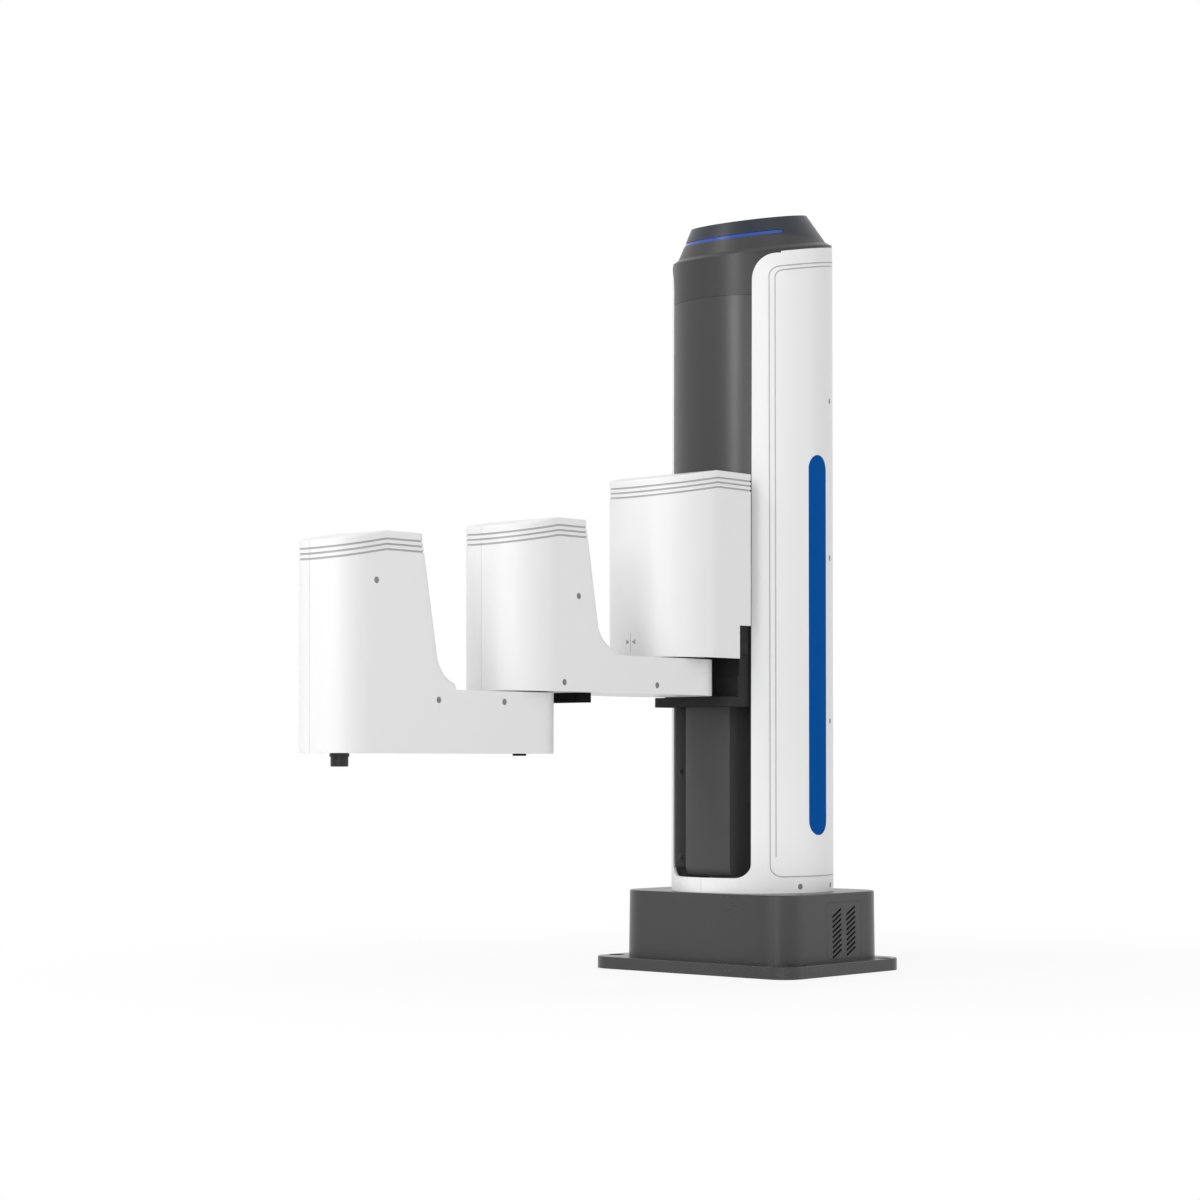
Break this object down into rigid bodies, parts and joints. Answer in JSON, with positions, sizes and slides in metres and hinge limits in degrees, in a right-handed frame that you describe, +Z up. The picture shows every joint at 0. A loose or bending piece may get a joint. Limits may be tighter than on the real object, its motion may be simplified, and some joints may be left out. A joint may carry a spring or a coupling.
{
  "type": "scara robot",
  "caption": "Desktop SCARA robot with a lifting column, two swinging arms with towers, a turning tool shaft and a wide base plate.",
  "frame": {"origin": "underside of the base plate, on the axis of the column", "axes": "+X forwards, the way the arms reach at rest; +Y to the robot's left; +Z up"},
  "size_m": [0.6289, 0.231, 0.6952],
  "materials": {
    "base_coat": "satin dark grey coat",
    "housing_coat": "fine satin dark grey coat",
    "dark_cover": "fine matt dark grey",
    "white_shell": "satin white",
    "blue_film": "smooth blue film",
    "blue_light": "smooth translucent blue",
    "black_rubber": "matt black",
    "black_plastic": "matt black",
    "black_metal": "matt black coat",
    "bracket_coat": "matt black coat",
    "ground_steel": "ground and polished",
    "screw_steel": "dark zinc plated",
    "cast_aluminium": "blasted",
    "plate_aluminium": "milled and clear anodised",
    "motor_black": "satin black coat",
    "board_green": "solder mask",
    "supply_steel": "bright zinc plated",
    "belt_rubber": "ribbed black",
    "nut_steel": "oiled"
  },
  "bodies": {
    "base": {"base_plate": "base_coat", "base_housing": "housing_coat", "vent_panels": "housing_coat", "fan_frame": "black_plastic", "power_supply": "supply_steel", "control_board": "board_green", "connector_panel": "dark_cover", "power_inlet": "black_plastic", "switch_bezel": "black_plastic", "data_ports": "black_plastic", "base_fasteners": "screw_steel", "column_spine": "plate_aluminium", "guide_rails": "ground_steel", "screw_supports": "plate_aluminium", "motor_mount": "plate_aluminium", "z_motor": "motor_black", "casing_ribs": "cast_aluminium", "slot_liners": "dark_cover", "strip_cover": "dark_cover", "front_cover": "dark_cover", "casing_left": "white_shell", "casing_right": "white_shell", "side_stripes": "blue_film", "casing_screws": "screw_steel", "head_cap": "dark_cover", "light_strip": "blue_light"},
    "z_screw": {"ball_screw": "ground_steel", "shaft_coupling": "plate_aluminium", "z_motor_shaft": "ground_steel"},
    "carriage": {"carriage_plate": "plate_aluminium", "guide_blocks": "nut_steel", "nut_housing": "cast_aluminium", "ball_nut": "nut_steel", "shoulder_bracket": "bracket_coat", "j1_reducer": "nut_steel", "j1_motor": "motor_black", "shoulder_cover": "white_shell"},
    "arm1": {"arm1_casting": "cast_aluminium", "j1_output_flange": "ground_steel", "j2_reducer": "nut_steel", "j2_motor": "motor_black", "arm1_cover_left": "white_shell", "arm1_cover_right": "white_shell", "arm1_stop_block": "black_rubber", "arm1_screws": "screw_steel"},
    "arm2": {"arm2_casting": "cast_aluminium", "j2_output_flange": "ground_steel", "wrist_frame": "plate_aluminium", "j4_motor": "motor_black", "tool_bearings": "nut_steel", "j4_belt": "belt_rubber", "arm2_cover_left": "white_shell", "arm2_cover_right": "white_shell", "arm2_screws": "screw_steel", "j2_plug": "black_rubber"},
    "j4_rotor": {"j4_motor_pulley": "plate_aluminium"},
    "tool": {"tool_shaft": "black_metal", "tool_pulley": "plate_aluminium"},
    "fan": {"fan_rotor": "black_plastic"},
    "switch": {"power_rocker": "black_plastic"}
  },
  "joints": [
    {"name": "z_slide", "type": "slide", "parent": "base", "child": "carriage", "axis": [0, 0, 1], "range_m": [-0.148, 0.102]},
    {"name": "screw_spin", "type": "hinge", "parent": "base", "child": "z_screw", "pos_m": [0.022, 0, 0.28], "axis": [0, 0, 1], "range_deg": [-1860, 2700]},
    {"name": "j1_swing", "type": "hinge", "parent": "carriage", "child": "arm1", "pos_m": [0.1175, 0, 0.28], "axis": [0, 0, 1], "range_deg": [-85, 85]},
    {"name": "j2_swing", "type": "hinge", "parent": "arm1", "child": "arm2", "pos_m": [0.3175, 0, 0.25], "axis": [0, 0, 1], "range_deg": [-115, 115]},
    {"name": "tool_spin", "type": "hinge", "parent": "arm2", "child": "tool", "pos_m": [0.5175, 0, 0.22], "axis": [0, 0, 1], "range_deg": [-360, 360]},
    {"name": "j4_motor_spin", "type": "hinge", "parent": "arm2", "child": "j4_rotor", "pos_m": [0.47, 0, 0.22], "axis": [0, 0, 1], "range_deg": [-725, 725]},
    {"name": "fan_spin", "type": "hinge", "parent": "base", "child": "fan", "pos_m": [-0.0095, 0.0872, 0.0385], "axis": [0, 1, 0], "continuous": true},
    {"name": "switch_rock", "type": "hinge", "parent": "base", "child": "switch", "pos_m": [-0.0682, -0.004, 0.04], "axis": [0, 1, 0], "range_deg": [0, 14]}
  ],
  "couplings": [
    {"joint": "screw_spin", "follows": "z_slide", "rad_per_m": -314.16},
    {"joint": "j4_motor_spin", "follows": "tool_spin", "ratio": 2}
  ]
}
